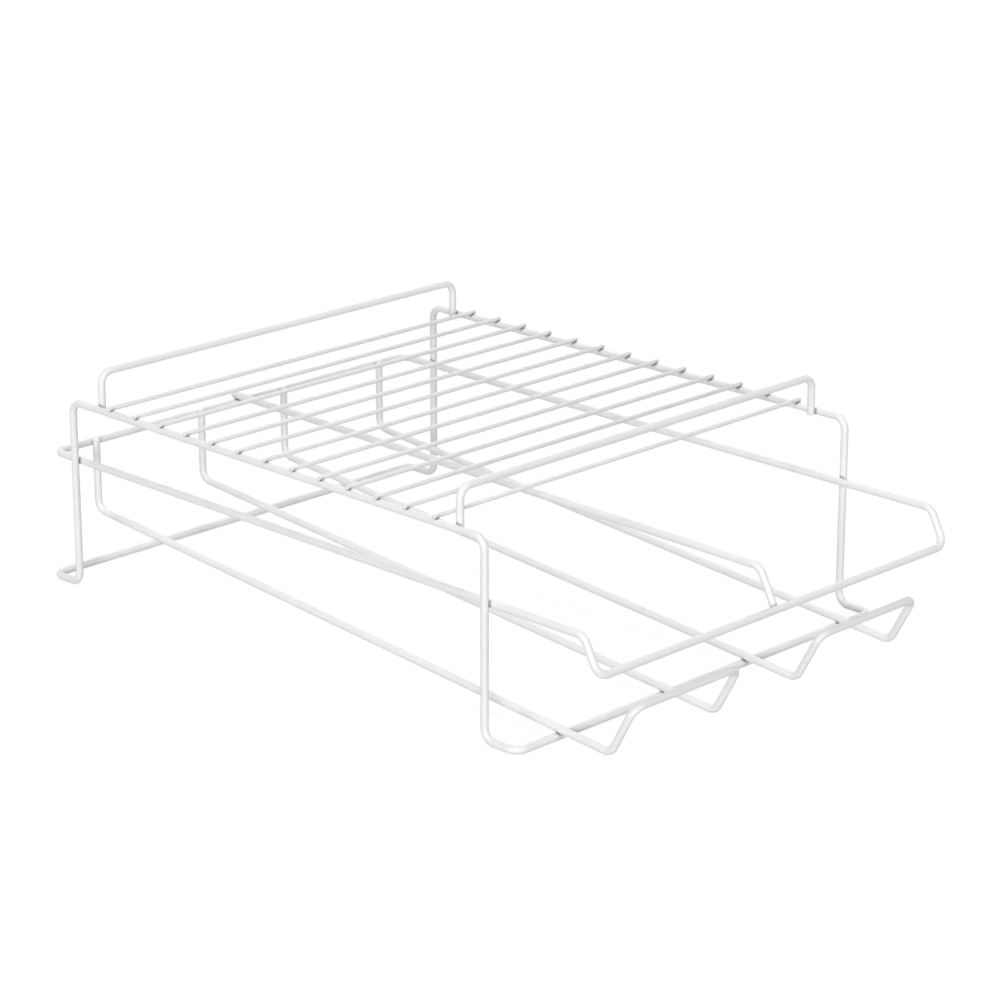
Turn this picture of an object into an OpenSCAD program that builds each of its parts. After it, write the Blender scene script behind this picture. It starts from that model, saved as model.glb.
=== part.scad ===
// Tiered shoe rack of welded round wire.
// The origin lies on the floor, midway between the four legs.
// +Z is up, -Y is the front where the tiers reach out, and the rails run along Y.

/* [Wire] */
// Diameter of the frame, guard, loop and finger wire
wire_d = 4.6; // [4:0.1:6]
// Diameter of the thin shelf wires
shelf_wire_d = 2.7; // [2:0.1:4]
// Radius of every bend, to the middle of the wire
bend_radius = 7.4; // [6:0.1:10]
// How far two crossing wires sink into each other at a weld
weld_set = 0.2; // [0.1:0.05:0.4]

/* [Frame] */
// Distance between the two rails, wire middle to wire middle
rail_spacing = 306; // [285:1:400]
// Distance between a front leg and the rear leg behind it
leg_spacing = 355.6; // [320:0.1:420]
// Height of the rails above the floor, to the middle of the wire
rail_height = 120.2; // [105:0.1:160]
// Distance that each floor bar lies out from its legs
foot_reach = 24.8; // [21:0.1:40]

/* [Top tier] */
// Number of shelf wires
shelf_wire_count = 13; // [9:1:15]
// Distance from a guard to the nearest shelf wire
shelf_margin = 14.2; // [6:0.1:30]
// Length of shelf wire past the middle of each rail
shelf_overhang = 2.2; // [0.5:0.1:6]
// Distance from the legs to the guard beside them
guard_inset = 23.2; // [15:0.1:45]
// Height of a guard's top bar above the rails
guard_height = 22.3; // [14:0.1:40]
// Length of a guard's posts below the middle of the rails
guard_tail = 2; // [1:0.1:8]

/* [Middle tier] */
// Height of the loop's side bars above the floor
loop_height = 81.5; // [68:0.1:100]
// Distance that the loop reaches behind the rear legs
loop_rear_reach = 25; // [20:0.1:40]
// Distance from the front legs to where the loop turns down
loop_front_reach = 70.2; // [50:0.1:90]
// Height that the loop falls at its front end
loop_drop = 20.8; // [16:0.1:26]
// Distance that the loop goes forward as it falls
loop_lean = 10.9; // [6:0.1:18]
// Length of the centre bar behind the loop's rear bar
centre_overhang = 3.7; // [2:0.1:12]
// Length of the centre bar past the loop's front bar
centre_tail = 2; // [1:0.1:8]

/* [Bottom tier] */
// Distance between the middles of the two fingers
finger_spacing = 156.2; // [130:0.1:165]
// How far the fingers lie off the middle, to the right
finger_shift = 1; // [0:0.1:1.5]
// Width of a finger, wire middle to wire middle
finger_width = 85.8; // [60:0.1:95]
// Height of a finger's wire ends above the loop's rear bar
finger_stub = 3.6; // [2:0.1:12]
// Height of the corner where a finger leaves its stubs
finger_heel_height = 38; // [25:0.1:50]
// Distance from the front floor bar to where a finger turns up
finger_nose_reach = 39.4; // [25:0.1:50]
// Height that a finger's tip rises
finger_tip_rise = 30.9; // [26:0.1:38]
// Distance that a finger's tip goes forward as it rises
finger_tip_lean = 16.8; // [8:0.1:30]

/* [Hidden] */
$fn = 48;

// The straight runs end a little way inside the bends, which are a hair fatter to take them
run_seat = 0.3;
bend_swell = 0.06;

// Two crossing wires lie this far apart, middle to middle, once they are welded
crossing = wire_d - weld_set;

// Frame
rail_x = rail_spacing / 2;
leg_y = leg_spacing / 2;
floor_bar_z = (wire_d + bend_swell) / 2;
floor_bar_y = leg_y + foot_reach;

// Top tier: the guards stand inside the rails, and the shelf wires fill the space between them
guard_x = rail_x - crossing;
guard_y = leg_y - guard_inset;
guard_foot_z = rail_height - guard_tail;
guard_top_z = rail_height + guard_height;
shelf_z = rail_height + (wire_d + shelf_wire_d) / 2 - weld_set;
shelf_rear_y = guard_y - shelf_margin;
shelf_pitch = 2 * shelf_rear_y / (shelf_wire_count - 1);
shelf_half = rail_x + shelf_overhang;

// Middle tier: the loop lies inside the legs, and the centre bar lies on it and behind its front bar
loop_x = rail_x - crossing;
loop_rear_y = leg_y + loop_rear_reach;
loop_turn_y = -leg_y - loop_front_reach;
loop_front_y = loop_turn_y - loop_lean;
loop_front_z = loop_height - loop_drop;
loop_fall = unit([0, -loop_lean, -loop_drop]);
centre_touch = [0, loop_front_y, loop_front_z] + crossing * [0, -loop_fall[2], loop_fall[1]];
centre_turn = centre_touch + loop_fall * (loop_height - centre_touch[2]) / loop_fall[2];
centre_rear = [0, loop_rear_y, loop_height + crossing];

// Bottom tier: the stubs hang in front of the loop's rear bar, and the runners lie on the front floor bar
stub_y = loop_rear_y - crossing;
stub_top_z = loop_height + finger_stub;
heel_to_bar = [stub_y + floor_bar_y, finger_heel_height - floor_bar_z];
runner_slope = atan2(heel_to_bar[1], heel_to_bar[0]) - asin(crossing / norm(heel_to_bar));
nose_y = -floor_bar_y - finger_nose_reach;
nose_z = finger_heel_height - (stub_y - nose_y) * tan(runner_slope);
tip_y = nose_y - finger_tip_lean;
tip_z = nose_z + finger_tip_rise;

function unit(v) = v / norm(v);

// Angle through which a wire turns at corner b on its way from a to c
function turn(a, b, c) = acos(unit(b - a) * unit(c - b));

// Length of straight run that the bend at corner b takes up on each side
function bend_lead(a, b, c) = bend_radius * tan(turn(a, b, c) / 2);

// One straight run of wire
module run(from, to, d = wire_d) {
    way = to - from;
    translate(from)
        rotate([0, acos(way[2] / norm(way)), atan2(way[1], way[0])])
            cylinder(d = d, h = norm(way));
}

// The round bend at corner b, part of a ring that touches both runs
module bend(a, b, c) {
    along = unit(b - a);
    onward = unit(c - b);
    inward = unit(onward - along * (onward * along));
    middle = b - along * bend_lead(a, b, c) + inward * bend_radius;
    up = cross(-inward, along);
    multmatrix([
        [-inward[0], along[0], up[0], middle[0]],
        [-inward[1], along[1], up[1], middle[1]],
        [-inward[2], along[2], up[2], middle[2]]
    ])
        rotate_extrude(angle = turn(a, b, c))
            translate([bend_radius, 0])
                circle(d = wire_d + bend_swell);
}

// A wire bent at each corner of its path; a closed wire joins its last corner to its first
module bent_wire(path, closed = false) {
    n = len(path);
    for (i = [0 : n - (closed ? 1 : 2)]) {
        a = path[(i + n - 1) % n];
        b = path[i];
        c = path[(i + 1) % n];
        d = path[(i + 2) % n];
        starts_free = !closed && i == 0;
        ends_free = !closed && i == n - 2;
        along = unit(c - b);
        run(
            b + along * (starts_free ? 0 : bend_lead(a, b, c) - run_seat),
            c - along * (ends_free ? 0 : bend_lead(b, c, d) - run_seat)
        );
        if (!ends_free)
            bend(b, c, d);
    }
}

// Wires that others are welded to, used again to press their seats into the wires that cross them
module rail(side)
    run([side * rail_x, -leg_y, rail_height], [side * rail_x, leg_y, rail_height]);

module leg(side, end)
    run([side * rail_x, end * leg_y, floor_bar_z], [side * rail_x, end * leg_y, rail_height]);

module cross_bar(y, z)
    run([-loop_x, y, z], [loop_x, y, z]);

// Both rails, all four legs, the feet and the two floor bars, in one closed wire
module frame_wire() {
    color("white")
        bent_wire([
            [-rail_x, -floor_bar_y, floor_bar_z],
            [-rail_x, -leg_y, floor_bar_z],
            [-rail_x, -leg_y, rail_height],
            [-rail_x, leg_y, rail_height],
            [-rail_x, leg_y, floor_bar_z],
            [-rail_x, floor_bar_y, floor_bar_z],
            [rail_x, floor_bar_y, floor_bar_z],
            [rail_x, leg_y, floor_bar_z],
            [rail_x, leg_y, rail_height],
            [rail_x, -leg_y, rail_height],
            [rail_x, -leg_y, floor_bar_z],
            [rail_x, -floor_bar_y, floor_bar_z]
        ], closed = true);
}

// Thin wire k across both rails, counted from the rear
module shelf_wire(k) {
    y = shelf_rear_y - (k - 1) * shelf_pitch;
    color("white")
        difference() {
            run([-shelf_half, y, shelf_z], [shelf_half, y, shelf_z], shelf_wire_d);
            rail(-1);
            rail(1);
        }
}

// Hoop that keeps shoes on the top tier, welded inside both rails
module guard(y) {
    color("white")
        difference() {
            bent_wire([
                [-guard_x, y, guard_foot_z],
                [-guard_x, y, guard_top_z],
                [guard_x, y, guard_top_z],
                [guard_x, y, guard_foot_z]
            ]);
            rail(-1);
            rail(1);
        }
}

module rear_guard()
    guard(guard_y);

module front_guard()
    guard(-guard_y);

// Closed wire of the middle tier, welded inside all four legs
module middle_loop() {
    color("white")
        difference() {
            bent_wire([
                [-loop_x, loop_front_y, loop_front_z],
                [-loop_x, loop_turn_y, loop_height],
                [-loop_x, loop_rear_y, loop_height],
                [loop_x, loop_rear_y, loop_height],
                [loop_x, loop_turn_y, loop_height],
                [loop_x, loop_front_y, loop_front_z]
            ], closed = true);
            for (side = [-1, 1], end = [-1, 1])
                leg(side, end);
        }
}

// Bar down the middle of the loop: on top of its rear bar, and down behind its front bar
module centre_bar() {
    color("white")
        difference() {
            bent_wire([
                centre_rear - centre_overhang * unit(centre_turn - centre_rear),
                centre_turn,
                centre_touch + centre_tail * loop_fall
            ]);
            cross_bar(loop_rear_y, loop_height);
            cross_bar(loop_front_y, loop_front_z);
        }
}

// One long finger of the bottom tier: two stubs, two sloping runners and a raised tip
module finger(side) {
    middle = side * finger_spacing / 2 + finger_shift;
    x1 = middle - finger_width / 2;
    x2 = middle + finger_width / 2;
    color("white")
        difference() {
            bent_wire([
                [x1, stub_y, stub_top_z],
                [x1, stub_y, finger_heel_height],
                [x1, nose_y, nose_z],
                [x1, tip_y, tip_z],
                [x2, tip_y, tip_z],
                [x2, nose_y, nose_z],
                [x2, stub_y, finger_heel_height],
                [x2, stub_y, stub_top_z]
            ]);
            cross_bar(loop_rear_y, loop_height);
            cross_bar(-floor_bar_y, floor_bar_z);
        }
}

module left_finger()
    finger(-1);

module right_finger()
    finger(1);

frame_wire();
for (k = [1 : shelf_wire_count])
    shelf_wire(k);
rear_guard();
front_guard();
middle_loop();
centre_bar();
left_finger();
right_finger();
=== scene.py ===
# %% [markdown]
# # A tiered shoe rack, bent and welded from round wire
# The real rack is made on a wire bender: a machine feeds straight wire, bends it round a pin, and
# feeds again. The bent wires are then welded where they cross, and the whole rack is coated
# white. This lesson makes it the same way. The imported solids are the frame: they fix every size
# and place, and each piece made here stands exactly where its solid is.

# %% Load the frame
import math

import bmesh
import bpy
from mathutils import Matrix, Quaternion, Vector


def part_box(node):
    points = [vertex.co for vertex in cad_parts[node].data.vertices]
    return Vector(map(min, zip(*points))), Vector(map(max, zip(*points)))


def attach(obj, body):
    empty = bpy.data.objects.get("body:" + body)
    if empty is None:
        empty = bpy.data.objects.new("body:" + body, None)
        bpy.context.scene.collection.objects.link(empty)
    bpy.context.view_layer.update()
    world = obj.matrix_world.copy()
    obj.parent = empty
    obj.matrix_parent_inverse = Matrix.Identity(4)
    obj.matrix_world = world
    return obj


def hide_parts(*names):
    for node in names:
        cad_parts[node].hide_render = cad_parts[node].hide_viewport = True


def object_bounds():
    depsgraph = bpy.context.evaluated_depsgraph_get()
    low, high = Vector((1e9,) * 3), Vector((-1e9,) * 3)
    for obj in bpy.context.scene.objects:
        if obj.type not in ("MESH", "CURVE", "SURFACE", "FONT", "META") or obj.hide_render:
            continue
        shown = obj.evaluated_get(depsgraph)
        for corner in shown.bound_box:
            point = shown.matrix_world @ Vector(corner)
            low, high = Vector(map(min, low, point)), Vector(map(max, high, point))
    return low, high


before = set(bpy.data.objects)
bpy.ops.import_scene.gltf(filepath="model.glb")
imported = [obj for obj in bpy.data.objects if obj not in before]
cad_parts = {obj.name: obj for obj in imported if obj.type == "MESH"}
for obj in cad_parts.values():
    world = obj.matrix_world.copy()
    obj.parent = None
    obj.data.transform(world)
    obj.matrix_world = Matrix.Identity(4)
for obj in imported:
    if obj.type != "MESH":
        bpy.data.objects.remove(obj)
cad_low, cad_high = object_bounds()
cad_size = [round(v * 1000, 1) for v in cad_high - cad_low]
print("solids:", len(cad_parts), "size in mm:", cad_size)


# %% [markdown]
# ## The camera
# The rack is seen from its front left corner, a little from above, through a long lens that keeps
# the rails nearly parallel. A camera could be set by eye, but the straight wires give its place
# exactly: only one camera makes all of them fall where the picture has them. The lens is given
# for a square picture on a sensor 36 mm wide.

# %% Camera
def mm(x, y, z):
    """A point given in millimetres, in Blender's metres."""
    return Vector((x, y, z)) / 1000


def toward(azimuth, elevation):
    """The direction from the rack to an azimuth and elevation in degrees; the front is at 0."""
    a, e = math.radians(azimuth), math.radians(elevation)
    return Vector((math.sin(a) * math.cos(e), -math.cos(a) * math.cos(e), math.sin(e)))


VIEW_AZIMUTH, VIEW_ELEVATION, VIEW_ROLL = -45.187, 18.725, 0.05
VIEW_DISTANCE = 2.0818
VIEW_AIM = mm(31.9, -5.9, 56.33)
LENS, SENSOR_WIDTH = 121.56, 36

toward_camera = toward(VIEW_AZIMUTH, VIEW_ELEVATION)
camera = bpy.data.objects.new("camera", bpy.data.cameras.new("camera"))
camera.data.sensor_width = SENSOR_WIDTH
camera.data.lens = LENS
camera.location = VIEW_AIM + toward_camera * VIEW_DISTANCE
camera.rotation_mode = "QUATERNION"
camera.rotation_quaternion = (
    (-toward_camera).to_track_quat("-Z", "Y")
    @ Quaternion((0, 0, 1), math.radians(VIEW_ROLL))
)
bpy.context.scene.collection.objects.link(camera)
bpy.context.scene.camera = camera
print("camera at", [round(v, 4) for v in camera.location])


# %% [markdown]
# ## Shader sums
# A coat's colour and gloss are sums and products of a few noises. In the node editor each of them
# is a box and a wire. Here a small class wraps one node's output, so that plain Python arithmetic
# adds the Math nodes, and one method adds every other kind of node.

# %% A socket that can be added and multiplied
class Signal:
    """One output in a material's node tree."""

    def __init__(self, tree, socket=None):
        self.tree = tree
        self.socket = socket

    def node(self, kind, settings=None, sockets=None, out=0):
        """Adds a node, sets it up, fills or links its sockets and gives one of its outputs."""
        made = self.tree.nodes.new("ShaderNode" + kind)
        for name, value in (settings or {}).items():
            setattr(made, name, value)
        for name, value in (sockets or {}).items():
            if isinstance(value, Signal):
                self.tree.links.new(value.socket, made.inputs[name])
            else:
                made.inputs[name].default_value = value
        return Signal(self.tree, made.outputs[out] if made.outputs else None)

    def math(self, operation, first, second=0.0):
        return self.node("Math", {"operation": operation}, {0: first, 1: second})

    def __add__(self, other):
        return self.math("ADD", self, other)

    def __radd__(self, other):
        return self.math("ADD", other, self)

    def __sub__(self, other):
        return self.math("SUBTRACT", self, other)

    def __rsub__(self, other):
        return self.math("SUBTRACT", other, self)

    def __mul__(self, other):
        return self.math("MULTIPLY", self, other)

    def __rmul__(self, other):
        return self.math("MULTIPLY", other, self)

    def noise(self, place, scale, detail):
        """Soft noise from 0 to 1, with about this many waves to a metre."""
        return self.node("TexNoise", sockets={"Vector": place, "Scale": scale, "Detail": detail})

    def ramp(self, low, high):
        """0 below low, 1 above high, and a smooth step between them."""
        return self.node(
            "MapRange", {"interpolation_type": "SMOOTHSTEP"},
            {"Value": self, "From Min": low, "From Max": high},
        )

    def tint(self, from_colour, to_colour):
        """A colour between two others, with this signal as the share of the second."""
        return self.node(
            "Mix", {"data_type": "RGBA"},
            {"Factor": self, 6: from_colour, 7: to_colour}, out=2,
        )


def new_coat(name):
    """An empty material: its node tree as a signal, its shader node, and its object coordinates."""
    material = bpy.data.materials.new(name)
    material.use_nodes = True
    start = Signal(material.node_tree)
    shader = material.node_tree.nodes["Principled BSDF"]
    place = start.node("TexCoord", out="Object")
    return material, start, shader, place


print("shader sums ready")


# %% [markdown]
# ## The white coat
# Rack wire is dipped or sprayed with a white coat about a quarter of a millimetre thick. It is
# semi gloss, it sets with a faint orange peel, its white drifts a little from place to place, and
# a few grains of dust set in it. One flat white would show none of that, so three noises in real
# sizes drive the colour, the gloss and a bump: drifts of about 40 mm, a peel of about 2 mm and
# grains of about half a millimetre. Where the rack stands, the coat is scuffed by the floor. The
# narrow gap on both sides of a weld is painted dark grey, as painted shade. Every wire that
# crosses is a straight line there, so the gap's width follows from the distance to that line, and
# no shade has to be placed by hand. The thin shelf wires take a slightly greyer white.

# %% Coat material
COAT_WHITE = (0.93, 0.93, 0.925, 1)
COAT_DRIFT = (0.905, 0.905, 0.9, 1)
THIN_WHITE = (0.885, 0.885, 0.88, 1)
THIN_DRIFT = (0.86, 0.86, 0.855, 1)
COAT_GRAIN = (0.80, 0.80, 0.79, 1)
SCUFF_GREY = (0.74, 0.735, 0.72, 1)
# Dark grey painted as shade in the gaps beside the welds
WELD_SHADE_GREY = (0.20, 0.20, 0.195, 1)

# Noises: waves to a metre, and the levels between which each of them sets in
DRIFT_SCALE, DRIFT_FROM, DRIFT_TO = 25.0, 0.35, 0.7
GRAIN_SCALE, GRAIN_FROM, GRAIN_TO = 1900.0, 0.74, 0.80
SCUFF_FROM, SCUFF_TO = 0.35, 0.65
# Sizes in metres
PEEL_SIZE, THIN_PEEL_SIZE = 0.0020, 0.0014
SCUFF_HEIGHT = 0.0011
WELD_SHADE_REACH = 0.0028
BUMP_HEIGHT = 0.00004
# How much each of them shows in the colour, the relief and the roughness
GRAIN_TINT, SCUFF_TINT = 0.5, 0.7
WELD_SHADE_EVEN, WELD_SHADE_PATCHY = 0.8, 0.2
GRAIN_RELIEF, BUMP_STRENGTH = 0.6, 0.35
COAT_ROUGH, DRIFT_ROUGH, GRAIN_ROUGH, SCUFF_ROUGH, WELD_SHADE_ROUGH = 0.38, 0.12, 0.1, 0.25, 0.3
COAT_IOR = 1.48


def clear_gap(across, over, thickness):
    """The gap to a crossing wire, from two distances to its axis at right angles, in metres."""
    return across.math("SQRT", across * across + over * over) - thickness / 2000


def set_coat(start, shader, inputs):
    """Links signals to a shader's inputs, and sets the coat's refraction."""
    for socket, value in inputs.items():
        start.tree.links.new(value.socket, shader.inputs[socket])
    shader.inputs["IOR"].default_value = COAT_IOR


def white_coat(name, crossings, peel_size=PEEL_SIZE, white=COAT_WHITE, drifted=COAT_DRIFT):
    """The coat on a wire; crossings gives its gaps to other wires."""
    material, start, shader, place = new_coat(name)
    x, y, z = (start.node("SeparateXYZ", sockets={0: place}, out=axis) for axis in "XYZ")
    gap, *other_gaps = crossings(x, y, z)
    for other in other_gaps:
        gap = start.math("MINIMUM", gap, other)
    # Painted shade: the colour darkens and the roughness rises towards the gap at a weld
    near_weld = 1 - gap.ramp(0.0, WELD_SHADE_REACH)
    painted_shade = near_weld * near_weld
    drift = start.noise(place, DRIFT_SCALE, detail=2.0)
    peel = start.noise(place, 1 / peel_size, detail=1.0)
    grain = start.noise(place, GRAIN_SCALE, detail=0.0).ramp(GRAIN_FROM, GRAIN_TO)
    scuff = (1 - z.ramp(0.0, SCUFF_HEIGHT)) * peel.ramp(SCUFF_FROM, SCUFF_TO)

    colour = drift.ramp(DRIFT_FROM, DRIFT_TO).tint(white, drifted)
    colour = (grain * GRAIN_TINT).tint(colour, COAT_GRAIN)
    colour = (scuff * SCUFF_TINT).tint(colour, SCUFF_GREY)
    # The painted shade, a little patchy with the peel
    colour = (painted_shade * (WELD_SHADE_EVEN + WELD_SHADE_PATCHY * peel)).tint(colour, WELD_SHADE_GREY)
    rough = COAT_ROUGH + DRIFT_ROUGH * drift + GRAIN_ROUGH * grain
    rough = rough + SCUFF_ROUGH * scuff + WELD_SHADE_ROUGH * painted_shade
    bump = start.node("Bump", sockets={
        "Height": peel + grain * GRAIN_RELIEF,
        "Strength": BUMP_STRENGTH, "Distance": BUMP_HEIGHT,
    })
    set_coat(start, shader, {"Base Color": colour, "Roughness": rough, "Normal": bump})
    return material


# How far the painted shade reaches from a weld
print("white coat ready, with dust up to", WELD_SHADE_REACH * 1000, "mm from a weld")


# %% [markdown]
# ## The coat in the pinch of a weld
# Two wires that are pressed and welded together leave a narrow wedge round the weld. The coat
# draws into it and forms a small hollow web. Its middle is painted a dark grey, as the shade in
# the wedge. Each web carries its own number on every vertex, "pinch": 1 at its waist and 0 where
# it runs out on the wires. The material reads that number, so the painted shade follows the web
# wherever it lies.

# %% Web material
# Dark grey painted on the web's waist as shade
WEB_SHADE_GREY = (0.16, 0.16, 0.155, 1)
MOTTLE_SCALE = 1500.0
WEB_SHADE_FROM, WEB_SHADE_EVEN, WEB_SHADE_MOTTLED = 0.1, 0.75, 0.5
WEB_ROUGH, WEB_SHADE_ROUGH = 0.4, 0.2


def web_coat():
    material, start, shader, place = new_coat("web_coat")
    pinch = start.node("Attribute", {"attribute_name": "pinch"}, out="Fac")
    mottle = start.noise(place, MOTTLE_SCALE, detail=1.0)
    # Painted shade, darkest at the web's waist and mottled
    painted_web_shade = pinch.ramp(WEB_SHADE_FROM, 1.0) * (WEB_SHADE_EVEN + WEB_SHADE_MOTTLED * mottle)
    set_coat(start, shader, {
        "Base Color": painted_web_shade.tint(COAT_WHITE, WEB_SHADE_GREY),
        "Roughness": WEB_ROUGH + WEB_SHADE_ROUGH * painted_web_shade,
    })
    return material


pinched_coat = web_coat()
print("coat in the welds:", pinched_coat.name)


# %% [markdown]
# ## A wire bender
# A bent wire could be a curve with a round bevel, but a curve gives little say over its bends and
# its ends. Instead a ring of vertices goes through the wire bender's own two moves. Feed is an
# extrusion: the ring is copied straight ahead. Bend is a spin: the ring goes round the bending
# pin in small steps. A closed wire starts and ends in the middle of a bar, where the two rings
# merge. On a wire with free ends each end is filled, and the rim is bevelled, because a coat is
# round on a cut end.

# %% Feed, bend and cut
# In millimetres
WIRE, SHELF_WIRE = 4.6, 2.7
BEND_RADIUS = 7.4
END_ROUND, SHELF_END_ROUND = 0.7, 0.35
# Numbers of sides and steps
RING_SIDES = 32
STEPS_PER_RIGHT_ANGLE, FEWEST_STEPS = 16, 4
END_STEPS = 4
# The shape of a bevelled rim: 0.5 is round
END_PROFILE = 0.5
# In metres
MERGE_DISTANCE = 1e-6


def new_ring(bm, sides, radius, place):
    """A ring of vertices to start from."""
    vertices = bmesh.ops.create_circle(
        bm, cap_ends=False, segments=sides, radius=radius, matrix=place,
    )["verts"]
    return vertices, list({e for v in vertices for e in v.link_edges})


def ring_of(geometry):
    """The vertices and edges in what a bmesh operator gives back."""
    vertices = [g for g in geometry if isinstance(g, bmesh.types.BMVert)]
    edges = [
        g for g in geometry
        if isinstance(g, bmesh.types.BMEdge) and all(v in vertices for v in g.verts)
    ]
    return vertices, edges


def middle_of(vertices):
    return sum((v.co for v in vertices), Vector()) / len(vertices)


def feed(bm, ring, target):
    """Pushes the ring straight on until its middle is at the target."""
    vertices, edges = ring_of(bmesh.ops.extrude_edge_only(bm, edges=ring[1])["geom"])
    bmesh.ops.translate(bm, verts=vertices, vec=target - middle_of(vertices))
    return vertices, edges


def bend(bm, ring, corner, arrive, leave):
    """Turns the ring round a pin inside the corner, from one direction to the next."""
    angle = arrive.angle(leave)
    lead = BEND_RADIUS / 1000 * math.tan(angle / 2)
    inward = (leave - arrive * arrive.dot(leave)).normalized()
    ring = feed(bm, ring, corner - arrive * lead)
    turned = bmesh.ops.spin(
        bm, geom=ring[0] + ring[1], angle=angle,
        cent=corner - arrive * lead + inward * BEND_RADIUS / 1000,
        axis=arrive.cross(leave).normalized(),
        steps=max(FEWEST_STEPS, round(STEPS_PER_RIGHT_ANGLE * angle / (math.pi / 2))),
    )
    return ring_of(turned["geom_last"])


def cut_end(bm, ring, round_off):
    """Closes a free end and rounds its rim, as the coat does."""
    bmesh.ops.contextual_create(bm, geom=ring[1])
    bmesh.ops.bevel(
        bm, geom=ring[1], offset=round_off / 1000, offset_type="OFFSET", segments=END_STEPS,
        profile=END_PROFILE, affect="EDGES", material=-1,
    )


def bent_wire(bm, corners, thickness=WIRE, closed=False, round_off=END_ROUND):
    """One wire through all its corners, given in metres."""
    if closed:
        seam = (corners[-1] + corners[0]) / 2
        corners = [seam, *corners, seam]
    ways = [(b - a).normalized() for a, b in zip(corners, corners[1:])]
    turn = ways[0].to_track_quat("Z", "X").to_matrix().to_4x4()
    first = new_ring(bm, RING_SIDES, thickness / 2000, Matrix.Translation(corners[0]) @ turn)
    ring = first
    for corner, arrive, leave in zip(corners[1:-1], ways, ways[1:]):
        ring = bend(bm, ring, corner, arrive, leave)
    last = feed(bm, ring, corners[-1])
    if closed:
        bmesh.ops.remove_doubles(bm, verts=first[0] + last[0], dist=MERGE_DISTANCE)
    else:
        for end in (first, last):
            cut_end(bm, end, round_off)


print("wire bender ready:", RING_SIDES, "sides,", WIRE, "and", SHELF_WIRE, "mm wire")


# %% [markdown]
# ## Weld webs
# At each weld two round wires cross at a right angle and sink a fifth of a millimetre into each
# other. A ball of filler would look like a lump. The web is a short tube that stands on one wire
# and reaches to the other, so it is fed from a ring like a wire, in a few short steps, and every
# ring is then moved: its ends to the height where the round wires really are in that direction,
# and its waist inwards, which gives the hollow edge.

# %% One web between two crossing wires
# In millimetres
WELD_SET, WEB_BURY = 0.2, 0.06
# In radii of the thinner wire
WEB_WAIST, WEB_FOOT = 0.62, 0.80
WEB_SIDES, WEB_RINGS = 24, 8


def weld_web(bm, wire_a, along_a, wire_b, radius_a=WIRE / 2, radius_b=WIRE / 2):
    """A web between two wires, given by axis points at the weld; the first wire runs along_a."""
    across = (wire_a - wire_b).normalized()
    side = across.cross(along_a).normalized()
    thin = min(radius_a, radius_b)
    waist, foot = WEB_WAIST * thin, WEB_FOOT * thin
    ring = new_ring(bm, WEB_SIDES, 1, Matrix.Translation((0, 0, -1)))
    rings = [ring]
    for step in range(1, WEB_RINGS + 1):
        ring = feed(bm, ring, Vector((0, 0, 2 * step / WEB_RINGS - 1)))
        rings.append(ring)
    for end in (rings[0], ring):
        bmesh.ops.contextual_create(bm, geom=end[1])
    vertices = [v for r in rings for v in r[0]]
    pinch = bm.verts.layers.float["pinch"]
    middle = wire_b + across * (radius_b - WELD_SET / 2) / 1000
    for v in vertices:
        x, y, level = v.co
        reach = waist + (foot - waist) * level * level
        on_a = radius_a - math.sqrt(radius_a ** 2 - (foot * y) ** 2) - WELD_SET / 2 + WEB_BURY
        on_b = WELD_SET / 2 - WEB_BURY - radius_b + math.sqrt(radius_b ** 2 - (foot * x) ** 2)
        rise = on_b + (on_a - on_b) * (level + 1) / 2
        v.co = middle + (along_a * x * reach + side * y * reach + across * rise) / 1000
        v[pinch] = 1 - level * level
    for f in {f for v in vertices for f in v.link_faces}:
        f.material_index = 1


print("weld webs ready:", WEB_SIDES, "sides,", WEB_RINGS, "steps from wire to wire")


# %% [markdown]
# ## From wire to piece
# Every piece goes the same way: wires and webs are put into one bmesh, the faces are turned
# outwards, and the mesh becomes an object at the origin with its place in its vertices. The piece
# rides on the rack's one body, stands for its solid, which it hides, and takes its own coat and the
# coat of the welds.

# %% Finish a piece
def new_bmesh():
    """An empty bmesh that can hold a weld's pinch."""
    bm = bmesh.new()
    bm.verts.layers.float.new("pinch")
    return bm


def finish_piece(bm, name, node, coat):
    """Turns a bmesh into an object that stands for a solid."""
    bmesh.ops.recalc_face_normals(bm, faces=bm.faces)
    for f in bm.faces:
        f.smooth = len(f.verts) == 4
    mesh = bpy.data.meshes.new(name)
    bm.to_mesh(mesh)
    bm.free()
    mesh.materials.append(coat)
    mesh.materials.append(pinched_coat)
    piece = bpy.data.objects.new(name, mesh)
    bpy.context.scene.collection.objects.link(piece)
    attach(piece, "root")
    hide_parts(node)
    low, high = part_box(node)
    places = [v.co for v in mesh.vertices]
    ends = [*zip(low, map(min, *places)), *zip(high, map(max, *places))]
    slack = max(abs(solid - seen) for solid, seen in ends) * 1000
    print(f"{name}: {len(mesh.polygons)} faces, within {slack:.2f} mm of its solid")


# %% [markdown]
# ## Sizes
# The rack's sizes are those of the solids, in millimetres, to the middle of the wire. They stand
# in one place because a wire's coat has to know where the other wires cross it.

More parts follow.
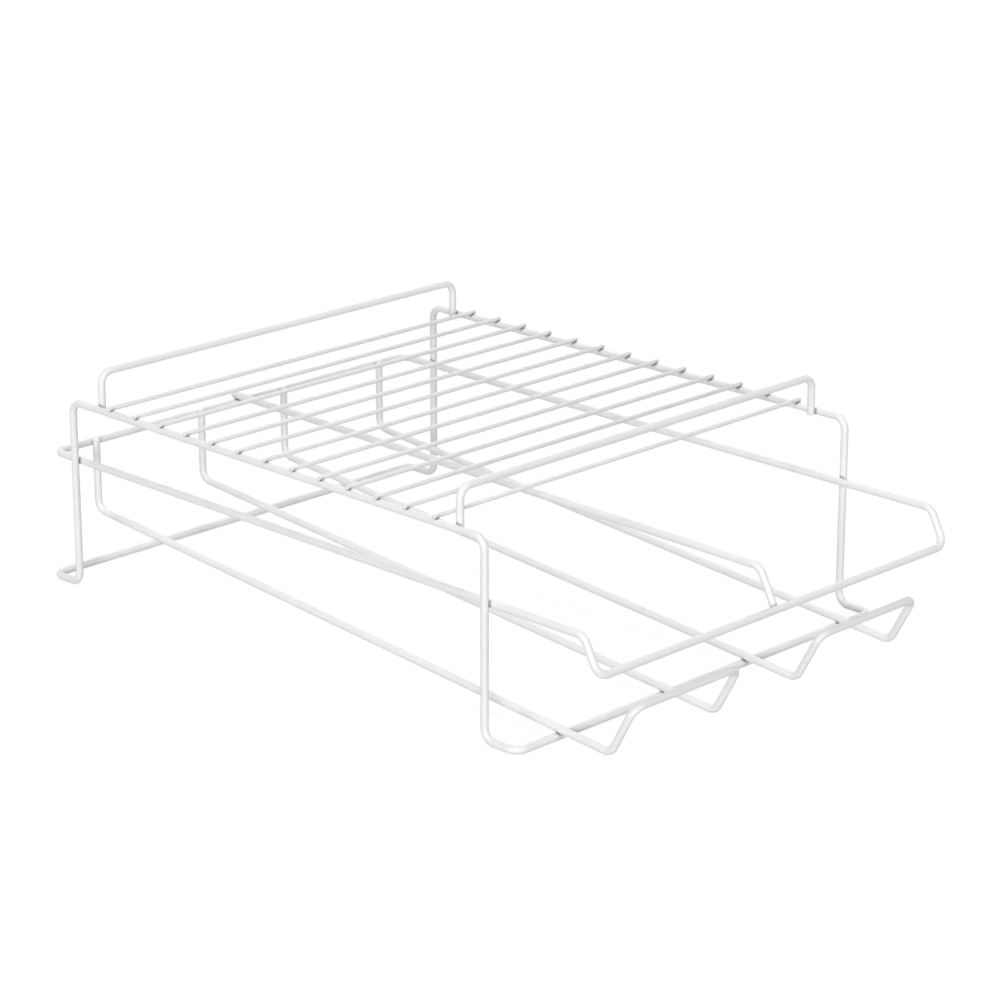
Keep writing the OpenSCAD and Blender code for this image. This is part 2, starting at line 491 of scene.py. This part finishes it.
# %% Sizes
RAIL_X, RAIL_Z = 153.0, 120.2
LEG_Y = 177.8
FLOOR_BAR_Y, FLOOR_BAR_Z = 202.6, 2.33
SHELF_WIRES = 13
SHELF_REAR_Y, SHELF_PITCH = 140.4, 23.4
SHELF_Z = 123.65
SHELF_HALF = 155.2
INSIDE_X = 148.6
GUARD_Y, GUARD_FOOT_Z, GUARD_TOP_Z = 154.6, 118.2, 142.5
LOOP_Z, LOOP_REAR_Y = 81.5, 202.8
LOOP_TURN_Y = -248.0
LOOP_FRONT_Y, LOOP_FRONT_Z = -258.9, 60.7
CROSSING = WIRE - WELD_SET
CENTRE_OVERHANG, CENTRE_TAIL = 3.7, 2.0
FINGER_SPACING, FINGER_WIDTH, FINGER_SHIFT = 156.2, 85.8, 1.0
STUB_Y, STUB_TOP_Z, HEEL_Z = 198.4, 85.1, 38.0
NOSE_Y = -242.0
TIP_RISE, TIP_LEAN = 30.9, 16.8
X_WAY, Y_WAY, Z_WAY = Vector((1, 0, 0)), Vector((0, 1, 0)), Vector((0, 0, 1))
# Half the step in a coat between the rack's halves, in millimetres too
MIDDLE_BLEND = 10.0


def off(signal, place):
    """How far a coordinate lies from a place given in millimetres."""
    return signal - place / 1000


def off_both(signal, place):
    """The same on both sides of the middle."""
    return off(signal.math("ABSOLUTE", signal), place)


def off_fingers(x):
    """How far x lies from the nearest wire of the two fingers."""
    return off_both(off_both(off(x, FINGER_SHIFT), FINGER_SPACING / 2), FINGER_WIDTH / 2)


def both_sides(first_x, second_x, half):
    """A wire's corners: along one side of a piece and back along the other."""
    back = [mm(second_x, y, z) for y, z in reversed(half)]
    return [mm(first_x, y, z) for y, z in half] + back


def in_rear_half(y):
    """1 in the rack's rear half and 0 in its front half, with a short step between them."""
    return y.ramp(-MIDDLE_BLEND / 1000, MIDDLE_BLEND / 1000)


print("sizes of", SHELF_WIRES, "shelf wires and the three tiers ready")


# %% [markdown]
# ## The frame wire
# One closed wire makes both rails, all four legs, the feet and the two floor bars. The floor bars
# lie out in front of and behind the legs, so the wire turns through three planes. Twelve corner
# points and the wire bender are enough: no bend is drawn by hand.

# %% Frame wire
# Painted shade under the shelf wires ends between these distances past the last one, in metres
SHELF_SHADE_FROM, SHELF_SHADE_TO = 0.003, 0.006
# It gets less from this far inside the wires' cut ends, in millimetres, and this fast
END_SHADE_INSET, END_SHADE_FADE = 1.2, 2


# These gaps place the painted shade in the frame's coat
def crossings_on_frame(x, y, z):
    """Shelf wires and guards on the rails, the loop on the legs, runners on the front floor bar."""
    past_shelf = off_both(y, SHELF_REAR_Y).ramp(SHELF_SHADE_FROM, SHELF_SHADE_TO)
    past_end = off_both(x, SHELF_HALF - END_SHADE_INSET)
    past_end = END_SHADE_FADE * past_end.math("MAXIMUM", past_end, 0.0)
    to_shelf_wire = y.math("PINGPONG", y, SHELF_PITCH / 2000)
    return [
        clear_gap(to_shelf_wire, off(z, SHELF_Z), SHELF_WIRE) + past_shelf + past_end,
        clear_gap(off_both(x, INSIDE_X), off_both(y, GUARD_Y), WIRE),
        clear_gap(off_both(x, INSIDE_X), off(z, LOOP_Z), WIRE),
        clear_gap(off_fingers(x), off(z, FLOOR_BAR_Z + CROSSING), WIRE) + in_rear_half(y),
    ]


half_frame = [
    (-FLOOR_BAR_Y, FLOOR_BAR_Z), (-LEG_Y, FLOOR_BAR_Z), (-LEG_Y, RAIL_Z),
    (LEG_Y, RAIL_Z), (LEG_Y, FLOOR_BAR_Z), (FLOOR_BAR_Y, FLOOR_BAR_Z),
]
bm = new_bmesh()
bent_wire(bm, both_sides(-RAIL_X, RAIL_X, half_frame), closed=True)
frame_coat = white_coat("frame_coat", crossings_on_frame)
finish_piece(bm, "coated_frame", "frame_wire", frame_coat)


# %% [markdown]
# ## The top tier
# Thin straight wires lie across both rails, at an even pitch, and each is welded to both. One
# long bent wire could zigzag over the rails, but the picture shows a cut end at each rail, so
# every wire is a piece of its own: only a feed with two cut ends.

# %% Shelf wires
# Painted shade ends between these distances past a cut end, in metres; minus is before it
END_FROM, END_TO = -0.0006, -0.0002


def crossings_with_rails(x, y, z):
    return [clear_gap(off_both(x, RAIL_X), off(z, RAIL_Z), WIRE)]


def crossings_on_shelf_wires(x, y, z):
    """The rails, but the painted shade stays off the cut ends."""
    at_cut_end = off_both(x, SHELF_HALF).ramp(END_FROM, END_TO)
    return [gap + at_cut_end for gap in crossings_with_rails(x, y, z)]


shelf_coat = white_coat(
    "shelf_coat", crossings_on_shelf_wires, THIN_PEEL_SIZE, THIN_WHITE, THIN_DRIFT,
)
for count in range(SHELF_WIRES):
    y = SHELF_REAR_Y - count * SHELF_PITCH
    bm = new_bmesh()
    ends = both_sides(-SHELF_HALF, SHELF_HALF, [(y, SHELF_Z)])
    bent_wire(bm, ends, thickness=SHELF_WIRE, round_off=SHELF_END_ROUND)
    for side in (-1, 1):
        on_rail, rail = mm(side * RAIL_X, y, SHELF_Z), mm(side * RAIL_X, y, RAIL_Z)
        weld_web(bm, on_rail, X_WAY, rail, radius_a=SHELF_WIRE / 2)
    name = f"shelf_wire_{count + 1}"
    finish_piece(bm, "coated_" + name, name, shelf_coat)


# %% [markdown]
# ## The guards
# A hoop stands inside the rails at each end of the shelf, so that shoes can't slide off. It is
# bent from the thick wire and welded to the rails by its two posts, whose cut ends show a little
# below them. Both hoops are alike, so one loop makes them.

# %% Guards
guard_coat = white_coat("guard_coat", crossings_with_rails)
for name, y in (("rear_guard", GUARD_Y), ("front_guard", -GUARD_Y)):
    bm = new_bmesh()
    post = [(y, GUARD_FOOT_Z), (y, GUARD_TOP_Z)]
    bent_wire(bm, both_sides(-INSIDE_X, INSIDE_X, post))
    for side in (-1, 1):
        weld_web(bm, mm(side * INSIDE_X, y, RAIL_Z), Z_WAY, mm(side * RAIL_X, y, RAIL_Z))
    finish_piece(bm, "coated_" + name, name, guard_coat)


# %% [markdown]
# ## The middle tier
# A second closed wire lies inside the legs and reaches out in front, where it dips. Its dip leans
# forward, so the two front corners lie in a tilted plane, which the wire bender takes as it
# comes.

# %% Middle loop
# Only a little shade is painted beside the fingers' stubs, as if their gaps were this much wider,
# in metres
STUB_OPENING = 0.0011
fall = Vector((0, LOOP_FRONT_Y - LOOP_TURN_Y, LOOP_FRONT_Z - LOOP_Z)).normalized()
behind = Vector((0, -fall.z, fall.y))
front_bar = mm(0, LOOP_FRONT_Y, LOOP_FRONT_Z)
touch = front_bar + behind * CROSSING / 1000


def crossings_on_loop(x, y, z):
    """The legs on its sides, the fingers and the centre bar on its rear bar, and its front bar."""
    past_touch = (y - touch.y) * behind.y + (z - touch.z) * behind.z
    in_front = 1 - in_rear_half(y)
    return [
        clear_gap(off_both(x, RAIL_X), off_both(y, LEG_Y), WIRE),
        clear_gap(off_fingers(x), off(y, STUB_Y), WIRE) + STUB_OPENING,
        clear_gap(x, off(z, LOOP_Z + CROSSING), WIRE) + in_front,
        clear_gap(x, past_touch, WIRE) + in_rear_half(y),
    ]


half_loop = [(LOOP_FRONT_Y, LOOP_FRONT_Z), (LOOP_TURN_Y, LOOP_Z), (LOOP_REAR_Y, LOOP_Z)]
bm = new_bmesh()
bent_wire(bm, both_sides(-INSIDE_X, INSIDE_X, half_loop), closed=True)
for side in (-1, 1):
    for y in (-LEG_Y, LEG_Y):
        weld_web(bm, mm(side * INSIDE_X, y, LOOP_Z), Y_WAY, mm(side * RAIL_X, y, LOOP_Z))
loop_coat = white_coat("loop_coat", crossings_on_loop)
finish_piece(bm, "coated_loop", "middle_loop", loop_coat)


# %% [markdown]
# ## The centre bar
# A bar runs down the middle of the loop. It lies on the loop's rear bar, and its bent front end
# goes down behind the loop's front bar. It could be placed by eye, but both welds fix it: it
# touches each bar from one side, so its corner is where a line along the dip meets the loop's
# height.

# %% Centre bar
def crossings_on_centre_bar(x, y, z):
    return [
        clear_gap(off(y, LOOP_REAR_Y), off(z, LOOP_Z), WIRE),
        clear_gap(off(y, LOOP_FRONT_Y), off(z, LOOP_FRONT_Z), WIRE),
    ]


turn = touch + fall * (LOOP_Z / 1000 - touch.z) / fall.z
rear = mm(0, LOOP_REAR_Y, LOOP_Z + CROSSING)
centre_way = (turn - rear).normalized()
bm = new_bmesh()
bent_wire(bm, [
    rear - centre_way * CENTRE_OVERHANG / 1000, turn, touch + fall * CENTRE_TAIL / 1000,
])
weld_web(bm, rear, centre_way, mm(0, LOOP_REAR_Y, LOOP_Z))
weld_web(bm, touch, fall, front_bar)
centre_coat = white_coat("centre_coat", crossings_on_centre_bar)
finish_piece(bm, "coated_centre_bar", "centre_bar", centre_coat)


# %% [markdown]
# ## The bottom tier
# Two long fingers hang from the loop's rear bar by their cut ends, run down to the front floor
# bar, rest on it, and rise again in a raised tip that stops a shoe. Both are the same bent wire,
# so one loop makes them, each from the places of its two long sides.

# %% Fingers
def crossings_on_fingers(x, y, z):
    return [
        clear_gap(off(y, LOOP_REAR_Y), off(z, LOOP_Z), WIRE),
        clear_gap(off(y, -FLOOR_BAR_Y), off(z, FLOOR_BAR_Z), WIRE),
    ]


finger_coat = white_coat("finger_coat", crossings_on_fingers)
heel_to_bar = Vector((STUB_Y + FLOOR_BAR_Y, HEEL_Z - FLOOR_BAR_Z))
slope = math.atan2(heel_to_bar.y, heel_to_bar.x) - math.asin(CROSSING / heel_to_bar.length)
nose_z = HEEL_Z - (STUB_Y - NOSE_Y) * math.tan(slope)
runner_way = Vector((0, -math.cos(slope), -math.sin(slope)))
runner_up = Vector((0, -math.sin(slope), math.cos(slope)))
print(f"runners fall {math.degrees(slope):.2f} degrees, noses at {nose_z:.2f} mm")

half_finger = [
    (STUB_Y, STUB_TOP_Z), (STUB_Y, HEEL_Z), (NOSE_Y, nose_z),
    (NOSE_Y - TIP_LEAN, nose_z + TIP_RISE),
]
for name, side in (("left_finger", -1), ("right_finger", 1)):
    inner = FINGER_SHIFT + side * (FINGER_SPACING - FINGER_WIDTH) / 2
    outer = FINGER_SHIFT + side * (FINGER_SPACING + FINGER_WIDTH) / 2
    bm = new_bmesh()
    bent_wire(bm, both_sides(inner, outer, half_finger))
    for x in (inner, outer):
        weld_web(bm, mm(x, STUB_Y, LOOP_Z), Z_WAY, mm(x, LOOP_REAR_Y, LOOP_Z))
        bar = mm(x, -FLOOR_BAR_Y, FLOOR_BAR_Z)
        weld_web(bm, bar + runner_up * CROSSING / 1000, runner_way, bar)
    finish_piece(bm, "coated_" + name, name, finger_coat)


# %% [markdown]
# ## The floor
# The rack stands on a plain floor. Light that bounces off it brightens the undersides of the
# wires, so to the light it is an ordinary matt surface of a middle grey. To the camera it is
# mostly glow, which gives a white background without more light on the rack, and the rest of it
# is matt and takes the rack's soft shadow. Glow and matt part together come to a strength of one,
# which is white.

# %% Floor
FLOOR_GLOW, FLOOR_MATT = 0.87, 0.2
FLOOR_GREY = 0.5
FLOOR_HALF = 9.0


def grey(level):
    return (level, level, level, 1)


def seen_directly(start):
    """1 for rays that should meet a white background: straight from the camera, or mirrored."""
    kinds = ("Is Camera Ray", "Is Glossy Ray", "Is Transmission Ray")
    camera_ray, glossy_ray, clear_ray = (start.node("LightPath", out=kind) for kind in kinds)
    return start.math("MINIMUM", camera_ray + glossy_ray + clear_ray, 1.0)


def white_floor():
    material = bpy.data.materials.new("white_floor")
    material.use_nodes = True
    material.node_tree.nodes.clear()
    start = Signal(material.node_tree)
    for_light = start.node("BsdfDiffuse", sockets={"Color": grey(FLOOR_GREY)})
    glow = start.node("Emission", sockets={"Color": grey(1), "Strength": FLOOR_GLOW})
    matt = start.node("BsdfDiffuse", sockets={"Color": grey(FLOOR_MATT)})
    for_camera = start.node("AddShader", sockets={0: glow, 1: matt})
    surface = start.node("MixShader", sockets={
        0: seen_directly(start), 1: for_light, 2: for_camera,
    })
    start.node("OutputMaterial", sockets={"Surface": surface})
    return material


bm = bmesh.new()
bmesh.ops.create_grid(bm, x_segments=1, y_segments=1, size=FLOOR_HALF)
bmesh.ops.translate(bm, verts=bm.verts, vec=(0, 0, cad_low.z))
floor_mesh = bpy.data.meshes.new("floor")
bm.to_mesh(floor_mesh)
bm.free()
floor_mesh.materials.append(white_floor())
floor = bpy.data.objects.new("floor", floor_mesh)
bpy.context.scene.collection.objects.link(floor)
print("floor", 2 * FLOOR_HALF, "m wide, at", round(cad_low.z * 1000, 3), "mm")


# %% [markdown]
# ## The light
# White wire in front of white shows only by its shading, so the lamps matter more here than on a
# dark object. Upright wires are whitest where they face the camera and bars are greyer, so the
# main lamp stands low beside the camera. Two weaker ones light the left and right sides of the
# wires, one hangs overhead and whitens the tops of the bars, and three behind give the bars a
# white upper rim and keep the far sides white as well. They are far away and wide, so that the
# light is soft and even over the whole rack, and so weak that little but the glints on the short
# falling wires reaches white. The room itself is white to the camera and dim to everything else.

# %% Room and lamps
ROOM_LIGHT = 0.10
LAMP_DISTANCE, LAMP_WIDTH = 6.0, 2.5
LAMPS = [
    # name, azimuth and elevation in degrees, power in watts
    ("front", -50, 12.5, 170.0),
    ("left", -92, 14, 80.0),
    ("right", 2, 14, 60.0),
    ("top", 0, 85, 112.0),
    ("back", 135, 35, 98.0),
    ("rear_right", 95, 12.5, 38.0),
    ("rear_left", 175, 12.5, 38.0),
]

world = bpy.data.worlds.new("white_room")
world.use_nodes = True
room = Signal(world.node_tree)
level = ROOM_LIGHT + (1 - ROOM_LIGHT) * seen_directly(room)
world.node_tree.links.new(level.socket, world.node_tree.nodes["Background"].inputs["Color"])
bpy.context.scene.world = world

rack_middle = (cad_low + cad_high) / 2
for name, azimuth, elevation, power in LAMPS:
    toward_lamp = toward(azimuth, elevation)
    lamp = bpy.data.lights.new(name + "_lamp", "AREA")
    lamp.shape, lamp.size, lamp.energy = "DISK", LAMP_WIDTH, power
    holder = bpy.data.objects.new(name + "_lamp", lamp)
    holder.location = rack_middle + toward_lamp * LAMP_DISTANCE
    holder.rotation_mode = "QUATERNION"
    holder.rotation_quaternion = (-toward_lamp).to_track_quat("-Z", "Y")
    bpy.context.scene.collection.objects.link(holder)
bpy.context.scene.view_settings.view_transform = "Standard"
print("lamps:", [lamp[0] for lamp in LAMPS], "room", ROOM_LIGHT)
